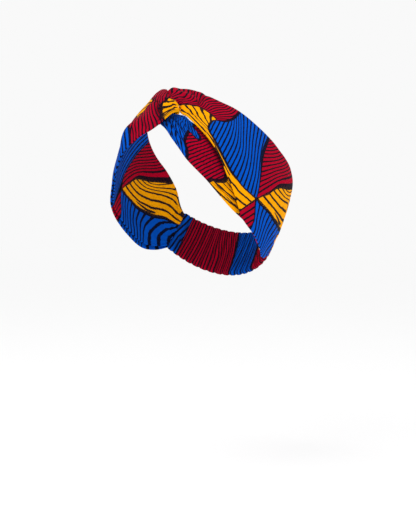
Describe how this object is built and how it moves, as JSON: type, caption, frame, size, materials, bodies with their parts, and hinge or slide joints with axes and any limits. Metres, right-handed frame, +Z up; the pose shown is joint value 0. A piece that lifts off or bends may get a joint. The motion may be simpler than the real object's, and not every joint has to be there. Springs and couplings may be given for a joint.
{
  "type": "cloth headband",
  "caption": "Knotted cloth headband: interlocked printed cotton loops that cross at the front of the crown and meet in a narrow gathered casing at the nape.",
  "frame": {"origin": "middle of the hollow that the head goes into, where the band is held up", "axes": "+Z up, the wearer looks along -Y and the wearer's left is +X"},
  "size_m": [0.1567, 0.1696, 0.1858],
  "materials": {
    "right_loop_cloth": "plain woven cotton, wax print in red, blue and yellow with dark lines",
    "left_loop_cloth": "plain woven cotton, wax print in blue, red and yellow with dark lines",
    "casing_cloth": "plain woven cotton gathered over elastic, the same wax print"
  },
  "bodies": {
    "root": {"right_loop": "right_loop_cloth", "left_loop": "left_loop_cloth", "back_casing": "casing_cloth"}
  },
  "joints": []
}
